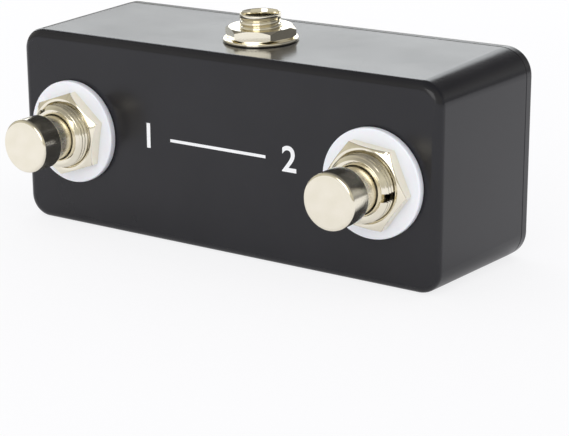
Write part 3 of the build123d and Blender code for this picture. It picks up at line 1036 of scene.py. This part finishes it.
def world():
    """White to the eye, and plain soft light on the object. Reflections show the room."""
    made = bpy.data.worlds.new("studio")
    made.use_nodes = True
    made.node_tree.nodes.clear()
    direction = add(made, "ShaderNodeTexCoord")
    heading = add(made, "ShaderNodeSeparateXYZ", links={"Vector": (direction, "Generated")})
    nearness = add(
        made, "ShaderNodeValToRGB", links={"Fac": (heading, "Y")},
        stops=[(0.0, grey(1)), (0.2, grey(0))],
    )
    walls = [
        add(made, "ShaderNodeValToRGB", links={"Fac": (heading, "Z")}, stops=tones)
        for tones in (BACK_WALL, FRONT_WALL)
    ]
    back, front = [
        add(made, "ShaderNodeBackground", links={"Color": (wall, "Color")}) for wall in walls
    ]
    mirrored = add(
        made, "ShaderNodeMixShader",
        links={0: (nearness, "Color"), 1: (back, 0), 2: (front, 0)},
    )
    rays = add(made, "ShaderNodeLightPath")
    ambient = add(made, "ShaderNodeBackground", Color=linear("#fdfdff"), Strength=0.86)
    seen = add(made, "ShaderNodeBackground", Color=linear("#fcfcfe"), Strength=1.0)
    lit = add(
        made, "ShaderNodeMixShader",
        links={0: (rays, "Is Glossy Ray"), 1: (ambient, 0), 2: (mirrored, 0)},
    )
    mixed = add(
        made, "ShaderNodeMixShader", links={0: (rays, "Is Camera Ray"), 1: (lit, 0), 2: (seen, 0)}
    )
    add(made, "ShaderNodeOutputWorld", links={"Surface": (mixed, 0)})
    bpy.context.scene.world = made


def panel(name, location, target, width, height, watts, colour=(1, 1, 1)):
    """A soft box: a rectangular lamp that faces a point."""
    lamp = bpy.data.lights.new(name, "AREA")
    lamp.shape = "RECTANGLE"
    lamp.size = width
    lamp.size_y = height
    lamp.energy = watts
    lamp.color = colour
    made = bpy.data.objects.new(name, lamp)
    bpy.context.scene.collection.objects.link(made)
    made.location = location
    toward = Vector(target) - Vector(location)
    made.rotation_euler = toward.to_track_quat("-Z", "Y").to_euler()


def lights():
    """A long low panel behind for the upper side's sheen, and a key from the front right."""
    panel(
        "back_panel", location=(-0.42, 0.62, 0.355), target=(0, 0, 0.04), width=1.0, height=0.27,
        watts=1.62, colour=(0.94, 0.975, 1.0),
    )
    panel(
        "key_panel", location=(0.12, -0.82, 0.33), target=(0, 0, 0.02), width=0.56, height=0.50,
        watts=1.8,
    )


# Place in metres, angles in degrees and the lens in millimetres
CAMERA_PLACE = (0.188152, -0.27076, 0.092878)
CAMERA_HEADING = 34.139
CAMERA_TILT = -15.167
CAMERA_ROLL = 0.818
CAMERA_LENS = 115.722


def camera():
    """Long lens, from in front and to the right, looking a little down."""
    made = bpy.data.objects.new("camera", bpy.data.cameras.new("camera"))
    bpy.context.scene.collection.objects.link(made)
    turn = (
        Matrix.Rotation(math.radians(CAMERA_HEADING), 4, "Z")
        @ Matrix.Rotation(math.pi / 2 + math.radians(CAMERA_TILT), 4, "X")
        @ Matrix.Rotation(math.radians(CAMERA_ROLL), 4, "Z")
    )
    made.matrix_world = Matrix.Translation(CAMERA_PLACE) @ turn
    made.data.lens = CAMERA_LENS
    made.data.sensor_width = 36.0
    made.data.clip_start = 0.01
    bpy.context.scene.camera = made


# ---- The scene ----

MATERIALS = {
    "enamel": black_enamel(),
    "nickel_socket": nickel("nickel_on_socket", SOCKET_PLACE, roughness=0.11),
    # Milky white with a soft gloss, and a little light that spreads inside it
    "white_nylon": plastic(
        "moulded_white_nylon", "#f1f3f9", "#f5f7fc",
        roughness=0.42, grain_size=0.12, relief=0.0015, ior=1.53, subsurface=0.1,
    ),
    # A flat white film that hides the enamel under it
    "white_ink": plastic(
        "screen_printed_ink", "#f1f2f3", "#f8f9fa", roughness=0.5, grain_size=0.1, relief=0.001
    ),
    # Dark brown, moulded hard, with a dull gloss
    "phenolic": plastic(
        "brown_phenolic", "#3a1f12", "#47281a", roughness=0.4, grain_size=0.2, relief=0.002
    ),
    # Near black, with the satin of a sparked mould
    "black_moulding": plastic(
        "black_moulded_plastic", "#121213", "#1a1a1b",
        roughness=0.45, grain_size=0.15, relief=0.0015,
    ),
    # Extruded round the wire: smooth and a little waxy, in three colours
    "white_insulation": plastic(
        "white_pvc_insulation", "#e4e4e0", "#ededea", roughness=0.4, grain_size=0.3, relief=0.001
    ),
    "red_insulation": plastic(
        "red_pvc_insulation", "#a01818", "#b42020", roughness=0.4, grain_size=0.3, relief=0.001
    ),
    "black_insulation": plastic(
        "black_pvc_insulation", "#131314", "#1b1b1c", roughness=0.4, grain_size=0.3, relief=0.001
    ),
    # Rolled strip: warm yellow with a soft sheen
    "contact_brass": plain_metal(
        "rolled_contact_brass", "#d8bd7e", "#e3cb92", roughness=0.25, grain_size=0.4, relief=0.001
    ),
    # Drawn through a die: bright grey and smooth
    "spring_wire": plain_metal(
        "drawn_spring_wire", "#b7b7b9", "#c6c6c8", roughness=0.2, grain_size=0.3, relief=0.0008
    ),
    # Electroplated: pale bluish grey with a slightly cloudy shine
    "zinc_steel": plain_metal(
        "zinc_plated_steel", "#b9bcc2", "#cdd0d5", roughness=0.28, grain_size=0.5, relief=0.001
    ),
}

# The rings on a switch run about its own axis. Its cap and stem are grooved, the stem the most dull
for switch_side, switch_place in SWITCH_PLACES.items():
    MATERIALS[f"nickel_{switch_side}"] = nickel(
        f"nickel_on_{switch_side}_switch", switch_place, roughness=0.11
    )
    MATERIALS[f"button_{switch_side}"] = nickel(
        f"nickel_on_{switch_side}_button", switch_place,
        roughness=0.14, groove_height=GROOVE_HEIGHT,
    )
    MATERIALS[f"stem_{switch_side}"] = nickel(
        f"nickel_on_{switch_side}_stem", switch_place,
        roughness=0.3, groove_height=GROOVE_HEIGHT,
    )

dress_nodes(MATERIALS)
dress_switches(MATERIALS)
dress_socket(MATERIALS)
dress_lid_screws(MATERIALS["zinc_steel"])
front_print(MATERIALS["white_ink"])

floor()
world()
lights()
camera()
bpy.context.scene.view_settings.view_transform = "Standard"
